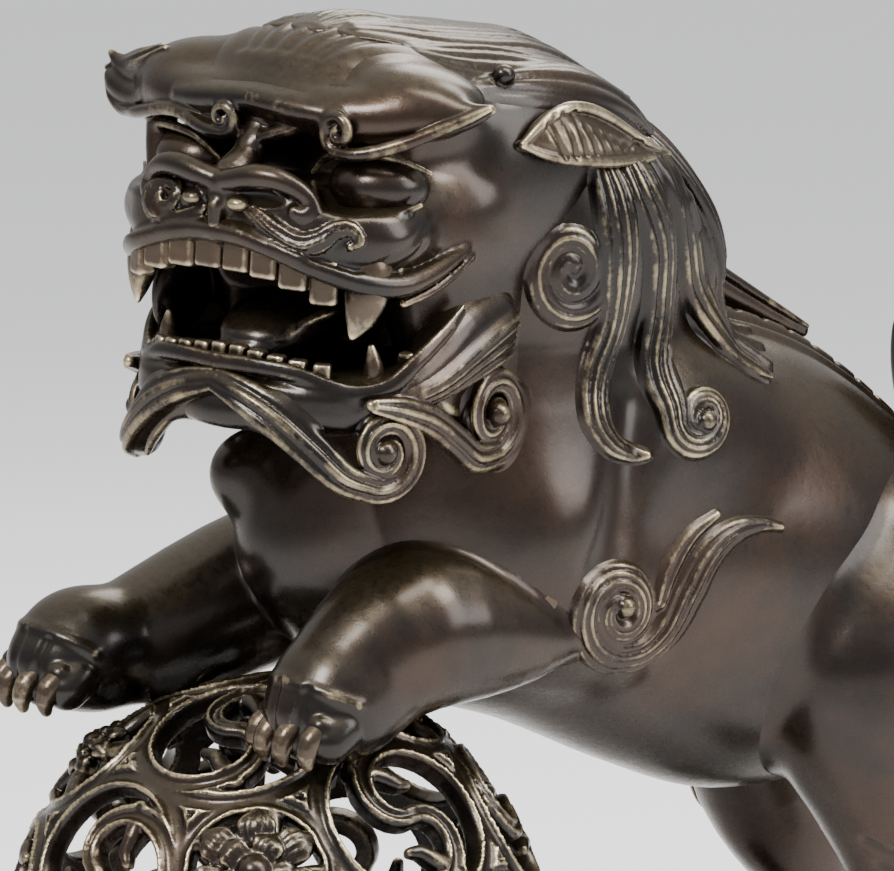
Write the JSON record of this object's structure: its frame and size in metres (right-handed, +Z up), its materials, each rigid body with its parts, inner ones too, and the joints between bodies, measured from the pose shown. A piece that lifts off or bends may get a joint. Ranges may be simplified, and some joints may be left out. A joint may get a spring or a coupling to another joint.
{
  "type": "foo dog statue",
  "caption": "Bronze guardian lion with an open mouth, scrolled mane and eyebrows, both forepaws resting on a pierced openwork ball.",
  "frame": {"origin": "on the floor, under the middle of the whole statue's bounding box", "axes": "+Z up, -Y the way the lion faces, +X towards the lion's left side"},
  "size_m": [0.1775, 0.3787, 0.3746],
  "materials": {
    "patinated_bronze": "dark brown patina, waxed",
    "worn_bronze": "rubbed golden brown"
  },
  "bodies": {
    "root": {"torso_shell": "patinated_bronze", "neck_sleeve": "worn_bronze", "neck_pins": "worn_bronze", "spine_ridge": "patinated_bronze", "head_shell": "patinated_bronze", "crown_crest": "patinated_bronze", "left_eye": "patinated_bronze", "right_eye": "patinated_bronze", "left_eyebrow": "patinated_bronze", "right_eyebrow": "patinated_bronze", "nose": "patinated_bronze", "left_ear": "patinated_bronze", "right_ear": "patinated_bronze", "upper_teeth": "worn_bronze", "lower_jaw": "patinated_bronze", "lower_teeth": "worn_bronze", "tongue": "patinated_bronze", "jaw_pins": "worn_bronze", "left_beard_scroll": "patinated_bronze", "right_beard_scroll": "patinated_bronze", "left_cheek_scroll": "patinated_bronze", "right_cheek_scroll": "patinated_bronze", "left_mane_locks": "patinated_bronze", "right_mane_locks": "patinated_bronze", "nape_locks": "patinated_bronze", "left_foreleg": "patinated_bronze", "right_foreleg": "patinated_bronze", "left_fore_claws": "worn_bronze", "right_fore_claws": "worn_bronze", "shoulder_pins": "worn_bronze", "left_elbow_flame": "patinated_bronze", "right_elbow_flame": "patinated_bronze", "left_hind_leg": "patinated_bronze", "right_hind_leg": "patinated_bronze", "left_hind_claws": "worn_bronze", "right_hind_claws": "worn_bronze", "hip_pins": "worn_bronze", "left_hock_flame": "patinated_bronze", "right_hock_flame": "patinated_bronze", "tail_plume": "patinated_bronze", "tail_screw": "worn_bronze", "ball_upper_half": "patinated_bronze", "ball_lower_half": "patinated_bronze", "ball_seam_pins": "worn_bronze", "ball_flowers": "patinated_bronze", "paw_studs": "worn_bronze", "paw_stud_nuts": "worn_bronze"}
  },
  "joints": []
}
